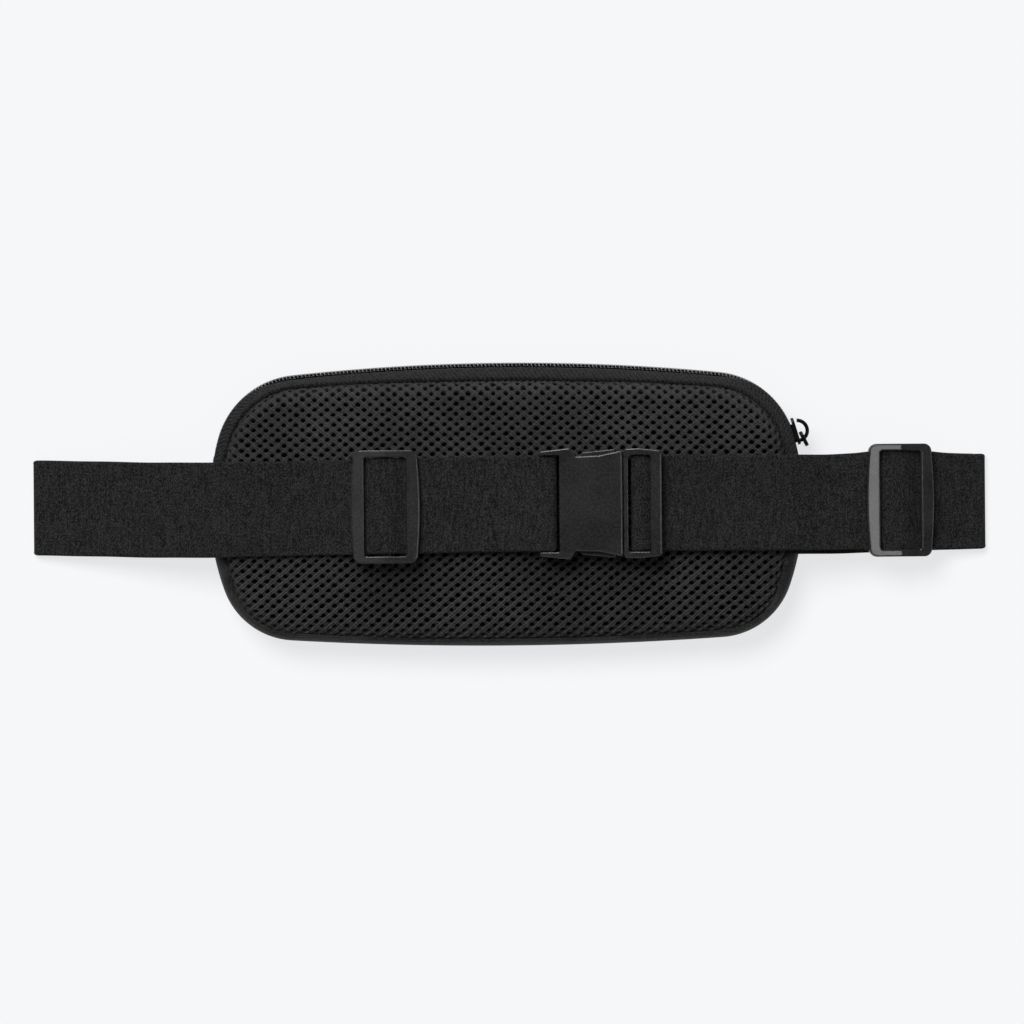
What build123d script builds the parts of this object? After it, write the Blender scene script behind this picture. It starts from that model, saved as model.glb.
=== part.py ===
"""Belt bag (money belt) lying on its front, with its mesh back and folded belt upwards.

Frame: millimetres, origin at the middle of the flat front face, +X along the belt,
+Y towards the zip edge, +Z up from the front face through the padded back.
"""
from build123d import *
import math
import os

# ---------------------------------------------------------------- driving dimensions
HALF_LENGTH = 118.6          # pouch centre to the bulge of its side
HALF_HEIGHT = 56.5           # pouch centre to its top and bottom edges
TOP_ARC_R = 840.0            # shallow arc of the zip edge
BOTTOM_ARC_R = 1350.0        # shallow arc of the lower edge
SIDE_ARC_R = 100.0           # bulge of both sides
TOP_CORNER_R = 34.5
BOTTOM_CORNER_R = 30.5

FRONT_SEAM_Z = 9.0           # front panel meets the gusset
WIDEST_Z = 14.0              # where the gusset is widest
ZIP_Z = 13.0                 # line where the two rows of teeth meet
BACK_SEAM_Z = 19.0           # gusset meets the padded back
BACK_TOP_Z = 26.0            # highest point of the padded back
BACK_INSET = 6.2             # back seam, inside the widest outline
BACK_R_ACROSS = 302.0        # roundness of the back across its height
BACK_R_ALONG = 1837.0        # roundness of the back along its length
CLOTH_T = 1.2
LINING_T = 0.5
MESH_T = 2.0
FRONT_EDGE_R = 6.0
BINDING_W = 1.2
BINDING_H = 2.0

ZIP_END_Y = 12.0             # the zip runs round the top above this height
COIL_DEPTH = 2.6             # a #5 coil, measured outwards from the tape
COIL_W = 2.95                # one row of teeth
TAPE_T = 0.5
STOP_W = 2.0
ZIP_GAP = 0.1
TAPE_EDGE = 1.0              # each tape stops this far from the line of teeth

SLIDER_ANGLE = 17.0          # where the closed slider stands on the corner arc
SLIDER_LENGTH = 11.0
SLIDER_W = 8.0
SLIDER_PLATE_T = 1.2
SLIDER_CLEARANCE = 0.4
CROWN_ROD = 1.5
CROWN_LENGTH = 9.5
CROWN_RISE = 4.8
PULL_LENGTH = 12.0
PULL_W = 6.4
PULL_T = 1.4
PULL_EYE_R = 1.75
PULL_LEAN = 10.0             # the pull's free side stands off the slider
PULL_OUT = 1.6               # middle of the pull above the slider's face
PULL_ALONG = -3.85           # eye of the pull along the slider

BELT_W = 38.0
BELT_T = 1.4
BELT_GAP = 0.2               # belt above the padded back
LEFT_FOLD_X = -188.0
RIGHT_FOLD_X = 192.0
FOLD_R = 1.6                 # middle of the webbing at the folds
BACK_EDGE_X = 113.0          # where the belt leaves the padded back
BELT_SPLIT_X = 118.0         # where the run lying on the back begins
LEFT_SEAM_X = 112.6
WRAP_OFFSET = 0.95           # middle of the webbing above the bar that it wraps

ADJUSTER_LEFT_X = -48.0
ADJUSTER_LEFT_Y = -0.65      # each adjuster hangs a little to one side of the belt
ADJUSTER_RIGHT_X = 155.4
ADJUSTER_RIGHT_Y = 0.4
ADJUSTER_L = 27.6
ADJUSTER_W = 45.0
ADJUSTER_R = 3.2
WINDOW_L = 17.0
WINDOW_W = 39.5
FRAME_LOW = 5.0              # underside of the outer bars above the padded back
FRAME_EDGE = 7.1
FRAME_RIDGE = 8.4
FRAME_UNDER_RIDGE = 6.2
FRAME_SOFT_R = 0.4
CENTRE_BAR_L = 4.4
CENTRE_BAR_LOW = 1.9
CENTRE_BAR_HIGH = 3.7

BUCKLE_X = -0.9              # the buckle's own zero, along the belt
BUCKLE_LOW = 26.4
BUCKLE_H = 9.2
PLATE_T = 2.4                # walls above and below the socket
HOUSING_START_X = 22.0
HOUSING_END_X = 47.2
EAR_START_X = 14.0
SLOT_HALF_W = 19.4           # half width of every belt slot
BAR_START_X = 15.6
BAR_END_X = 19.4
BAR_H = 2.6
SOCKET_HALF_W = 17.4
MALE_START_X = 47.5
MALE_END_X = 62.8
MALE_WINDOW_START_X = 49.3
MALE_WINDOW_END_X = 58.4
MALE_BAR_START_X = 52.2
MALE_BAR_END_X = 55.4
ARM_T = 3.6

os.makedirs("parts", exist_ok=True)


def save(shape, name):
    """Write one piece to its own file."""
    shape.label = name
    export_step(shape, f"parts/{name}.step")
    print(f"{name:24s} solids {len(shape.solids()):2d}  volume {shape.volume:10.1f} mm3")


# ---------------------------------------------------------------- pouch outline
def outline(inset):
    """Plan outline of the pouch at a distance inside its widest line."""
    side_x = HALF_LENGTH - SIDE_ARC_R
    side = Circle(SIDE_ARC_R - inset)
    sides = Pos(side_x, 0) * side + Pos(-side_x, 0) * side
    sides += Rectangle(2 * side_x, 2 * (SIDE_ARC_R - inset))
    top = Pos(0, HALF_HEIGHT - TOP_ARC_R) * Circle(TOP_ARC_R - inset)
    bottom = Pos(0, BOTTOM_ARC_R - HALF_HEIGHT) * Circle(BOTTOM_ARC_R - inset)
    shape = top & bottom & sides
    upper = shape.vertices().filter_by(lambda corner: corner.Y > 0)
    shape = fillet(upper, TOP_CORNER_R - inset)
    lower = shape.vertices().filter_by(lambda corner: corner.Y < 0).sort_by(Axis.Y)[:2]
    return fillet(lower, BOTTOM_CORNER_R - inset).face()


def slab(inset, low, high):
    """Straight-sided block under the outline."""
    return Pos(0, 0, low) * extrude(outline(inset), high - low)


def band(inset, low, high, thickness, drift=0.0):
    """Ring that follows the outline, leaning inwards by drift from bottom to top."""
    def block(extra):
        faces = [
            Pos(0, 0, low) * outline(inset + extra),
            Pos(0, 0, high) * outline(inset + drift + extra),
        ]
        return loft(faces, ruled=True)

    return block(0.0) - block(thickness)


def upper_part(shape):
    """Keep the stretch that the zip takes."""
    return shape & Pos(0, ZIP_END_Y + 50, 15) * Box(300, 100, 60)


def lower_part(shape):
    """Keep the stretch without the zip."""
    return shape & Pos(0, ZIP_END_Y - 50, 15) * Box(300, 100, 60)


def cup(inset, floor, thickness, edge_radius):
    """Open tray: the front of the pouch and its lining."""
    def block(extra):
        body = slab(inset + extra, floor + extra, FRONT_SEAM_Z)
        rim = body.faces().sort_by(Axis.Z)[0].edges()
        return fillet(rim, edge_radius - extra)

    return block(0.0) - block(thickness)


def crowned(inset, low, high):
    """Block whose top is rounded both ways, like a padded back."""
    across = Pos(0, 0, high - BACK_R_ACROSS) * Rot(0, 90, 0) * Cylinder(BACK_R_ACROSS, 300)
    along = Pos(0, 0, high - BACK_R_ALONG) * Rot(90, 0, 0) * Cylinder(BACK_R_ALONG, 200)
    return slab(inset, low, high + 1) & across & along


# ---------------------------------------------------------------- pouch
def make_pouch():
    """Fabric shells, padding and linings of the pouch."""
    save(cup(CLOTH_T, 0.0, CLOTH_T, FRONT_EDGE_R), "front_panel")
    save(cup(2 * CLOTH_T, CLOTH_T, LINING_T, FRONT_EDGE_R - CLOTH_T), "front_lining")
    save(
        band(2 * CLOTH_T + 2 * LINING_T, FRONT_SEAM_Z - BINDING_H, FRONT_SEAM_Z, BINDING_W),
        "seam_binding_front",
    )
    wall = band(0.2, FRONT_SEAM_Z, WIDEST_Z, CLOTH_T)
    slope = band(0.2, WIDEST_Z, BACK_SEAM_Z, CLOTH_T, BACK_INSET - 0.2)
    save(lower_part(wall) + lower_part(slope), "bottom_gusset")
    save(
        band(BACK_INSET + 2 * CLOTH_T, BACK_SEAM_Z - BINDING_H - 0.1, BACK_SEAM_Z - 0.1, BINDING_W),
        "seam_binding_back",
    )
    inner = BACK_INSET + MESH_T
    lining_top = BACK_SEAM_Z + LINING_T
    foam_top = BACK_TOP_Z - MESH_T
    hollow = crowned(inner, BACK_SEAM_Z - 1, foam_top)
    save(crowned(BACK_INSET, BACK_SEAM_Z, BACK_TOP_Z) - hollow, "back_mesh_panel")
    save(crowned(inner, lining_top, foam_top), "back_foam_pad")
    save(slab(inner, BACK_SEAM_Z, lining_top), "back_lining")


# ---------------------------------------------------------------- zip
TAPE_INSET = COIL_DEPTH + 2 * ZIP_GAP
SLIDER_TOP_Z = ZIP_Z + SLIDER_W / 2


def corner_centre():
    """Middle of the top right corner arc, tangent to the zip edge and to the side."""
    top_y = HALF_HEIGHT - TOP_ARC_R
    top_r = TOP_ARC_R - TOP_CORNER_R
    side_x = HALF_LENGTH - SIDE_ARC_R
    side_r = SIDE_ARC_R - TOP_CORNER_R
    gap = math.hypot(side_x, top_y)
    along = (top_r**2 - side_r**2 + gap**2) / (2 * gap)
    height = math.sqrt(top_r**2 - along**2)
    unit = (side_x / gap, -top_y / gap)
    return unit[0] * along + unit[1] * height, top_y + unit[1] * along - unit[0] * height


def strip_between(shape, low_y, high_y, side):
    """Short length of a band, on one side of the pouch."""
    middle = (low_y + high_y) / 2
    return shape & Pos(side * 100, middle, ZIP_Z) * Box(120, high_y - low_y, 40)


def at_slider(shape):
    """Move a piece modelled on the +X side of the corner arc to the slider's place."""
    return Pos(*CORNER) * Rot(0, 0, SLIDER_ANGLE) * shape


CORNER = corner_centre()


def make_zip():
    """Tapes, rows of teeth, stops, slider and pull."""
    front_tape = band(TAPE_INSET, FRONT_SEAM_Z, ZIP_Z - TAPE_EDGE, TAPE_T)
    wall = band(TAPE_INSET, ZIP_Z + TAPE_EDGE, SLIDER_TOP_Z + 0.2, TAPE_T)
    slope = band(TAPE_INSET, SLIDER_TOP_Z + 0.2, BACK_SEAM_Z, TAPE_T, BACK_INSET - TAPE_INSET)
    save(upper_part(front_tape), "zipper_tape_front")
    save(upper_part(wall) + upper_part(slope), "zipper_tape_back")

    half_gap = ZIP_GAP / 2
    front_row = band(ZIP_GAP, ZIP_Z - half_gap - COIL_W, ZIP_Z - half_gap, COIL_DEPTH)
    back_row = band(ZIP_GAP, ZIP_Z + half_gap, ZIP_Z + half_gap + COIL_W, COIL_DEPTH)
    post_y = CORNER[1] + TOP_CORNER_R * math.sin(math.radians(SLIDER_ANGLE)) - 1.0
    left_end_y = ZIP_END_Y + 4 * STOP_W
    parted = Pos(100, post_y - 30, ZIP_Z) * Box(120, 60, 40)
    stopped = Pos(-100, left_end_y - 30, ZIP_Z) * Box(120, 60, 40)
    save(upper_part(front_row) - parted - stopped, "zipper_coil_front")
    save(upper_part(back_row) - parted - stopped, "zipper_coil_back")

    stop_y = ZIP_END_Y + 1.0
    row = [strip_between(each, stop_y, stop_y + STOP_W, 1) for each in (front_row, back_row)]
    save(Compound(children=[piece.solid() for piece in row]), "zipper_top_stops")
    both_rows = band(ZIP_GAP, ZIP_Z - COIL_W, ZIP_Z + COIL_W, COIL_DEPTH)
    save(strip_between(both_rows, left_end_y - STOP_W, left_end_y, -1), "zipper_bottom_stop")

    outer = TOP_CORNER_R + SLIDER_CLEARANCE
    inner = TOP_CORNER_R - TAPE_INSET - TAPE_T - 0.8
    half = SLIDER_LENGTH / 2
    profile = RectangleRounded(SLIDER_LENGTH, SLIDER_W, 2.4)
    plate = Rot(0, 90, 0) * Rot(0, 0, 90) * extrude(profile, SLIDER_PLATE_T)
    lid = Pos(outer, 0, ZIP_Z) * plate
    lid = fillet(lid.faces().sort_by(Axis.X)[-1].edges(), 0.5)
    base = Pos(inner - SLIDER_PLATE_T, 0, ZIP_Z) * plate
    post = Pos((inner + outer) / 2, 2.2 - half, ZIP_Z) * Box(outer - inner, 2.2, 1.4)
    lip = Box(1.0, SLIDER_LENGTH - 4.8, 0.8)
    lips = [Pos(outer - 0.5, 0, ZIP_Z + side * (SLIDER_W / 2 - 0.4)) * lip for side in (-1, 1)]
    save(at_slider(lid + base + post + lips[0] + lips[1]), "zip_slider_body")

    face = outer + SLIDER_PLATE_T
    foot = (CROWN_LENGTH - CROWN_ROD) / 2
    peak = face + CROWN_RISE - CROWN_ROD / 2
    route = Line((face, -foot, ZIP_Z), (face + 0.6, -foot, ZIP_Z)) + ThreePointArc(
        (face + 0.6, -foot, ZIP_Z), (peak, 0.2, ZIP_Z), (face + 1.0, foot, ZIP_Z)
    )
    start = Plane(origin=(face, -foot, ZIP_Z), z_dir=(1, 0, 0))
    crown = sweep(start * Circle(CROWN_ROD / 2), path=route, transition=Transition.ROUND)
    save(at_slider(crown), "zip_slider_crown")

    outer_end = PULL_LENGTH - PULL_W / 2
    tab = extrude(RectangleRounded(PULL_LENGTH, PULL_W, 2.4), PULL_T / 2, both=True)
    rims = tab.faces().sort_by(Axis.Z)
    tab = fillet(rims[0].edges() + rims[-1].edges(), 0.4)
    tab = Pos(outer_end - PULL_LENGTH / 2, 0, 0) * tab - Cylinder(PULL_EYE_R, 2 * PULL_T)
    tab = Rot(0, 0, PULL_LEAN) * Rot(0, 90, 0) * tab
    tab = Pos(face + PULL_OUT, PULL_ALONG, ZIP_Z) * tab
    save(at_slider(tab), "zip_pull_tab")


# ---------------------------------------------------------------- belt routes
BELT_EDGE_Z = BACK_TOP_Z + BELT_GAP - BACK_EDGE_X**2 / (2 * BACK_R_ALONG)
LAYER_1 = 0.8                # middle of the webbing that lies on the back
LAYER_2 = 2.35               # middle of the webbing that lies on the first layer


def belt_surface(x, rise):
    """Point at a height above the surface that the upper run of the belt lies on."""
    side = 1 if x >= 0 else -1
    if abs(x) <= BACK_EDGE_X:
        slope = -x / BACK_R_ALONG
        z = BACK_TOP_Z + BELT_GAP - x**2 / (2 * BACK_R_ALONG)
    else:
        slope = -side * ramp_slope(side)
        z = BELT_EDGE_Z - ramp_slope(side) * (abs(x) - BACK_EDGE_X)
    length = math.hypot(1, slope)
    return x - rise * slope / length, z + rise / length


def ramp_slope(side):
    """Fall of the belt from the edge of the back to its fold on the ground."""
    fold_x = abs(RIGHT_FOLD_X if side > 0 else LEFT_FOLD_X) - FOLD_R - BELT_T / 2
    fold_z = 0.05 + 2 * FOLD_R
    return (BELT_EDGE_Z - fold_z) / (fold_x - BACK_EDGE_X)


def arc(x, z, radius, start, end, steps=6):
    """Points round a centre, in degrees from +X towards +Z."""
    angles = [math.radians(start + (end - start) * i / steps) for i in range(steps + 1)]
    return [(x + radius * math.cos(a), z + radius * math.sin(a)) for a in angles]


def ribbon(route):
    """Webbing of full width along a side-view route of its middle."""
    sides = ([], [])
    for i, here in enumerate(route):
        before = route[max(i - 1, 0)]
        after = route[min(i + 1, len(route) - 1)]
        normals = []
        for a, b in ((before, here), (here, after)):
            length = math.hypot(b[0] - a[0], b[1] - a[1])
            if length > 0:
                normals.append(((a[1] - b[1]) / length, (b[0] - a[0]) / length))
        first, last = normals[0], normals[-1]
        scale = BELT_T / 2 / (1 + first[0] * last[0] + first[1] * last[1])
        step = ((first[0] + last[0]) * scale, (first[1] + last[1]) * scale)
        sides[0].append((here[0] + step[0], 0, here[1] + step[1]))
        sides[1].append((here[0] - step[0], 0, here[1] - step[1]))
    face = make_face(Polyline(*sides[0], *reversed(sides[1]), close=True))
    return extrude(face, BELT_W / 2, dir=(0, 1, 0), both=True)


def outer_loop(side):
    """From the side seam out to the fold on the ground and back up to the pouch."""
    fold_x = abs(RIGHT_FOLD_X if side > 0 else LEFT_FOLD_X) - FOLD_R - BELT_T / 2
    fold_z = 0.05 + FOLD_R + BELT_T / 2
    seam = [(LEFT_SEAM_X, BACK_SEAM_Z + 0.85), (LEFT_SEAM_X + 4.9, BACK_SEAM_Z - 0.4)]
    fold = arc(fold_x, fold_z, FOLD_R, -90, 90)
    end = [belt_surface(side * (fold_x - 5), LAYER_1), belt_surface(side * BELT_SPLIT_X, LAYER_1)]
    return [(side * x, z) for x, z in seam + fold] + end


def adjuster_weave(middle, side):
    """Belt through one adjuster, from the fold side to the buckle side."""
    shape = [
        (27, LAYER_1), (24, LAYER_1), (14, 3.3), (8.2, 3.6), (4.5, 5.2), (2.2, 6.2), (-2.2, 6.2),
        (-5.5, 5.0), (-8.3, 3.95), (-16.5, 3.9), (-22, 2.6), (-28, LAYER_2),
    ]
    return [belt_surface(middle + side * u, rise) for u, rise in shape]


def sewn_end(middle, side):
    """Returning belt, round the adjuster's centre bar and sewn back onto itself."""
    bar = (CENTRE_BAR_LOW + CENTRE_BAR_HIGH) / 2
    half_bar = (CENTRE_BAR_HIGH - CENTRE_BAR_LOW) / 2
    turn = arc(CENTRE_BAR_L / 2 - 0.4, bar, half_bar + WRAP_OFFSET, -90, 90)
    shape = [(-28, LAYER_1), (-6, LAYER_1)] + turn
    shape += [(-1.8, 4.65), (-3.4, 3.65), (-5.2, 2.55), (-7, 2.35), (-16, 2.35)]
    return [belt_surface(middle + side * u, rise) for u, rise in shape]


BAR_Z = BUCKLE_LOW + BUCKLE_H / 2 - 0.3


def bar_wrap(start_x, end_x, side):
    """Turn round a buckle bar from its top to its underside."""
    near, far = (start_x, end_x) if side < 0 else (end_x, start_x)
    top = arc(0, 0, WRAP_OFFSET, 90, 0, 4)
    turn = [(far - side * x, BAR_Z + BAR_H / 2 + z) for x, z in top]
    turn += [(far - side * x, BAR_Z - BAR_H / 2 - z) for x, z in reversed(top)]
    reach = BAR_H / 2 + WRAP_OFFSET
    return [(near, BAR_Z + reach)] + turn + [(near, BAR_Z - reach)]


def left_threaded():
    """Left belt from the pouch edge through its adjuster to the socket bar and back."""
    side = -1
    start = [belt_surface(x, LAYER_1) for x in (-BELT_SPLIT_X, -BACK_EDGE_X - 2, -BACK_EDGE_X + 2)]
    weave = adjuster_weave(ADJUSTER_LEFT_X, side)
    rise = [belt_surface(-4, LAYER_2), (BUCKLE_X + 5, BAR_Z - 0.9), (BUCKLE_X + 11.5, BAR_Z + 1.75)]
    wrap = bar_wrap(BUCKLE_X + BAR_START_X + 0.6, BUCKLE_X + BAR_END_X, side)
    back = [(BUCKLE_X + 8, BAR_Z - 3.1), belt_surface(-4, LAYER_1)]
    return start + weave + rise + wrap + back + sewn_end(ADJUSTER_LEFT_X, side)


def right_threaded():
    """Right belt from its ramp through its adjuster to the plug bar and back."""
    side = 1
    weave = adjuster_weave(ADJUSTER_RIGHT_X, side)
    crest = [belt_surface(x, LAYER_2) for x in (BACK_EDGE_X + 2, BACK_EDGE_X - 2)]
    climb = [(66, BAR_Z - 2.0), (60.5, BAR_Z - 1.4), (57.6, BAR_Z + 1.0)]
    rise = [belt_surface(78, LAYER_2)] + [(BUCKLE_X + x, z) for x, z in climb]
    wrap = bar_wrap(BUCKLE_X + MALE_BAR_START_X, BUCKLE_X + MALE_BAR_END_X, side)
    back = [(BUCKLE_X + 64, BAR_Z - 4.1), belt_surface(78, LAYER_1)]
    under = [belt_surface(x, LAYER_1) for x in (BACK_EDGE_X - 2, BACK_EDGE_X + 2)]
    return weave + crest + rise + wrap + back + under + sewn_end(ADJUSTER_RIGHT_X, side)


def right_outer():
    """Right belt from the side seam to the fold and to the start of its weave."""
    return outer_loop(1)[:-2] + [adjuster_weave(ADJUSTER_RIGHT_X, 1)[0]]


def make_belt():
    """The four belt runs."""
    save(ribbon(outer_loop(-1)), "belt_left_outer")
    save(ribbon(left_threaded()), "belt_left_inner")
    save(ribbon(right_outer()), "belt_right_outer")
    save(ribbon(right_threaded()), "belt_right_inner")


# ---------------------------------------------------------------- adjusters
def adjuster():
    """Three-bar adjuster with a roof-shaped frame and a low centre bar."""
    half = ADJUSTER_L / 2
    roof = Polyline(
        (-half, 0, FRAME_LOW), (-half, 0, FRAME_EDGE), (0, 0, FRAME_RIDGE),
        (half, 0, FRAME_EDGE), (half, 0, FRAME_LOW), (0, 0, FRAME_UNDER_RIDGE), close=True,
    )
    end_x = half - 0.9
    end_y = ADJUSTER_W / 2
    bow_y = end_y - 1.3 * ADJUSTER_R
    left_bow = ThreePointArc((-end_x, -bow_y), (-half, 0), (-end_x, bow_y))
    right_bow = ThreePointArc((end_x, bow_y), (half, 0), (end_x, -bow_y))
    top_end = Polyline((-end_x, bow_y), (-end_x, end_y), (end_x, end_y), (end_x, bow_y))
    low_end = Polyline((end_x, -bow_y), (end_x, -end_y), (-end_x, -end_y), (-end_x, -bow_y))
    bowed = make_face(left_bow + top_end + right_bow + low_end)
    corners = bowed.vertices().filter_by(lambda corner: abs(corner.Y) > end_y - 0.1)
    plan = fillet(corners, ADJUSTER_R)
    window = RectangleRounded(WINDOW_L, WINDOW_W, 1.2)
    frame = extrude(make_face(roof), ADJUSTER_W / 2, dir=(0, 1, 0), both=True)
    frame = frame & extrude(plan - window, 12)
    rim = frame.edges().filter_by(lambda edge: edge.center().Z > FRAME_EDGE - 0.3)
    frame = fillet(rim.filter_by(lambda edge: abs(edge.center().X) > 0.01), FRAME_SOFT_R)
    bar_h = CENTRE_BAR_HIGH - CENTRE_BAR_LOW
    bar = Pos(0, 0, CENTRE_BAR_LOW + bar_h / 2) * Box(CENTRE_BAR_L, ADJUSTER_W - 1.6, bar_h)
    bar = fillet(bar.edges().filter_by(Axis.Y), 0.8)
    post_w = (ADJUSTER_W - WINDOW_W) / 2 - 0.8
    post_y = WINDOW_W / 2 + post_w / 2
    post_h = FRAME_UNDER_RIDGE + 0.3 - CENTRE_BAR_LOW
    post = Box(CENTRE_BAR_L, post_w, post_h)
    for end in (-1, 1):
        frame += Pos(0, end * post_y, CENTRE_BAR_LOW + post_h / 2) * post
    return frame + bar


def place_adjuster(x, y):
    """Stand an adjuster on the belt's surface."""
    at = belt_surface(x, 0)
    above = belt_surface(x, 1)
    tilt = math.degrees(math.atan2(above[0] - at[0], above[1] - at[1]))
    return Pos(at[0], y, at[1]) * Rot(0, tilt, 0)


def make_adjusters():
    """Both adjusters, from the same moulding."""
    save(place_adjuster(ADJUSTER_LEFT_X, ADJUSTER_LEFT_Y) * adjuster(), "adjuster_left")
    save(place_adjuster(ADJUSTER_RIGHT_X, ADJUSTER_RIGHT_Y) * adjuster(), "adjuster_right")


# ---------------------------------------------------------------- buckle
def mirrored(points):
    """Close a plan outline given on its +Y side."""
    return points + [(x, -y) for x, y in reversed(points)]


def rounded_block(plan, low, high, edge):
    """Moulded block with softened top and bottom rims."""
    body = Pos(0, 0, low) * extrude(plan, high - low)
    faces = body.faces().sort_by(Axis.Z)
    return fillet(faces[0].edges() + faces[-1].edges(), edge)


def plan_of(points, radius):
    """Flat outline with its corners rounded."""
    flat = make_face(Polyline(*points, close=True))
    return fillet(flat.vertices(), radius)


def socket():
    """Female half: flat housing, side windows, belt slot and strap bar."""
    points = mirrored([
        (EAR_START_X, 20.9), (26.2, 22.2), (28.4, 18.8), (38.0, 19.2), (HOUSING_END_X, 21.2),
    ])
    high = BUCKLE_LOW + BUCKLE_H
    body = rounded_block(plan_of(points, 0.9), BUCKLE_LOW, high, 0.7)
    slot = Box(HOUSING_START_X - EAR_START_X + 10, 2 * SLOT_HALF_W, 30)
    body -= Pos(HOUSING_START_X - (HOUSING_START_X - EAR_START_X + 10) / 2, 0, high) * slot
    bar = Box(BAR_END_X - BAR_START_X, 2 * SLOT_HALF_W + 2, BAR_H)
    bar = fillet(bar.edges().filter_by(Axis.Y), 0.9)
    body += Pos((BAR_START_X + BAR_END_X) / 2, 0, BAR_Z) * bar
    middle = BUCKLE_LOW + BUCKLE_H / 2
    hollow_h = BUCKLE_H - 2 * PLATE_T
    depth = HOUSING_END_X - HOUSING_START_X - 2.0
    hollow = Box(depth + 1, 2 * SOCKET_HALF_W, hollow_h)
    body -= Pos(HOUSING_END_X + 0.5 - depth / 2, 0, middle) * hollow
    opening = Box(17.4, 60, hollow_h)
    return body - Pos(36.0, 0, middle) * opening


def plug():
    """Male half without its arms: belt frame, middle bar and guide tongue."""
    low = BUCKLE_LOW + 0.6
    high = BUCKLE_LOW + BUCKLE_H - 0.4
    points = mirrored([(MALE_START_X, 21.7), (54.0, 21.9), (MALE_END_X, 20.9)])
    body = rounded_block(plan_of(points, 1.4), low, high, 0.6)
    window = RectangleRounded(MALE_WINDOW_END_X - MALE_WINDOW_START_X, 2 * SLOT_HALF_W, 1.0)
    body -= Pos((MALE_WINDOW_START_X + MALE_WINDOW_END_X) / 2, 0, low - 1) * extrude(window, 12)
    under = Box(MALE_END_X - MALE_WINDOW_END_X + 2, 2 * SLOT_HALF_W, 6.2)
    body -= Pos((MALE_END_X + MALE_WINDOW_END_X) / 2, 0, low + 2.3) * under
    bar = Box(MALE_BAR_END_X - MALE_BAR_START_X, 2 * SLOT_HALF_W + 2, BAR_H)
    bar = fillet(bar.edges().filter_by(Axis.Y), 0.9)
    body += Pos((MALE_BAR_START_X + MALE_BAR_END_X) / 2, 0, BAR_Z) * bar
    middle = BUCKLE_LOW + BUCKLE_H / 2
    tongue = Box(18.0, 8.0, ARM_T - 0.4)
    tongue = fillet(tongue.edges().filter_by(Axis.Z).sort_by(Axis.X)[:2], 2.5)
    return body + Pos(MALE_START_X - 8.5, 0, middle) * tongue


def arm():
    """One springy arm with its push pad, on the +Y side."""
    points = [
        (MALE_START_X - 0.1, 13.2), (MALE_START_X - 0.1, 16.6), (44.4, 16.6), (44.2, 21.6),
        (31.0, 20.3), (28.4, 17.4), (28.4, 14.6), (31.5, 14.6), (34.0, 17.0), (40.5, 17.0),
        (43.0, 13.2),
    ]
    middle = BUCKLE_LOW + BUCKLE_H / 2
    return rounded_block(plan_of(points, 0.5), middle - ARM_T / 2, middle + ARM_T / 2, 0.3)


def make_buckle():
    """Socket, plug and the plug's two arms."""
    place = Pos(BUCKLE_X, 0, 0)
    save(place * socket(), "buckle_socket")
    save(place * plug(), "buckle_plug")
    save(place * arm(), "buckle_arm_upper")
    save(place * mirror(arm(), Plane.XZ), "buckle_arm_lower")


make_pouch()
make_zip()
make_belt()
make_adjusters()
make_buckle()
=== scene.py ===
"""Looks of a belt bag lying on its front: mesh back, zip, folded elastic belt and buckle."""
import math

import bpy
import numpy as np
from mathutils import Euler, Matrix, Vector


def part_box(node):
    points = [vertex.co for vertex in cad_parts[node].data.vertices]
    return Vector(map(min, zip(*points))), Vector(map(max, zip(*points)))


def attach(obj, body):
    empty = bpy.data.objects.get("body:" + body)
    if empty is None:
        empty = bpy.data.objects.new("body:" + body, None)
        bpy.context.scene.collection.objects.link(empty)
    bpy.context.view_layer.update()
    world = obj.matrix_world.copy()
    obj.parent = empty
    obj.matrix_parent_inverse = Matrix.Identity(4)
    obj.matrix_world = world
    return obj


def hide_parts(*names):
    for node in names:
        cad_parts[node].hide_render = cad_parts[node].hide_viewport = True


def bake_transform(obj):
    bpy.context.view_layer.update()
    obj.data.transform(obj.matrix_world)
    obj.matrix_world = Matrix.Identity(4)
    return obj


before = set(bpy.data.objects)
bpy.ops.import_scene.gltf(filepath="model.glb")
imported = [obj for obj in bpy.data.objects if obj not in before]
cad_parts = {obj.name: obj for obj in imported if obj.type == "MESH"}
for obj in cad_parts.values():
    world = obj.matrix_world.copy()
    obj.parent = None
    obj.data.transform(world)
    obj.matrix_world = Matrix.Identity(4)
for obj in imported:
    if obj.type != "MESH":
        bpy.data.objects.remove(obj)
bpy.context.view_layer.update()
MM = 0.001                       # lengths below are millimetres, meshes are metres


def node_box(name):
    """A CAD node's lowest and highest corners in millimetres."""
    low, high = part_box(name)
    return np.array(low) / MM, np.array(high) / MM


# ---------------------------------------------------------------- driving dimensions
HALF_LENGTH = 118.6
HALF_HEIGHT = 56.5
TOP_ARC_R = 840.0
BOTTOM_ARC_R = 1350.0
SIDE_ARC_R = 100.0
TOP_CORNER_R = 34.5
BOTTOM_CORNER_R = 30.5

ZIP_Z = 13.0                     # height between the two rows of teeth
SEAM_Z = 19.0                    # back seam
FRONT_SEAM_Z = 9.0
BACK_TOP_Z = 26.0
BACK_R_ACROSS = 302.0            # radius of the crowned back, across the bag
BACK_R_ALONG = 1837.0            # and along it
ZIP_END_Y = 12.0                 # the zip stops here on both sides

BELT_W = 38.0
BELT_T = 1.4
BELT_GAP = 0.2                   # between the back and the belt that lies on it
FOLD_R = 1.6                     # middle line of the belt at its outer folds
BACK_EDGE_X = 113.0              # where the belt leaves the back
LEFT_FOLD_X = -188.8
RIGHT_FOLD_X = 191.2


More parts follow.
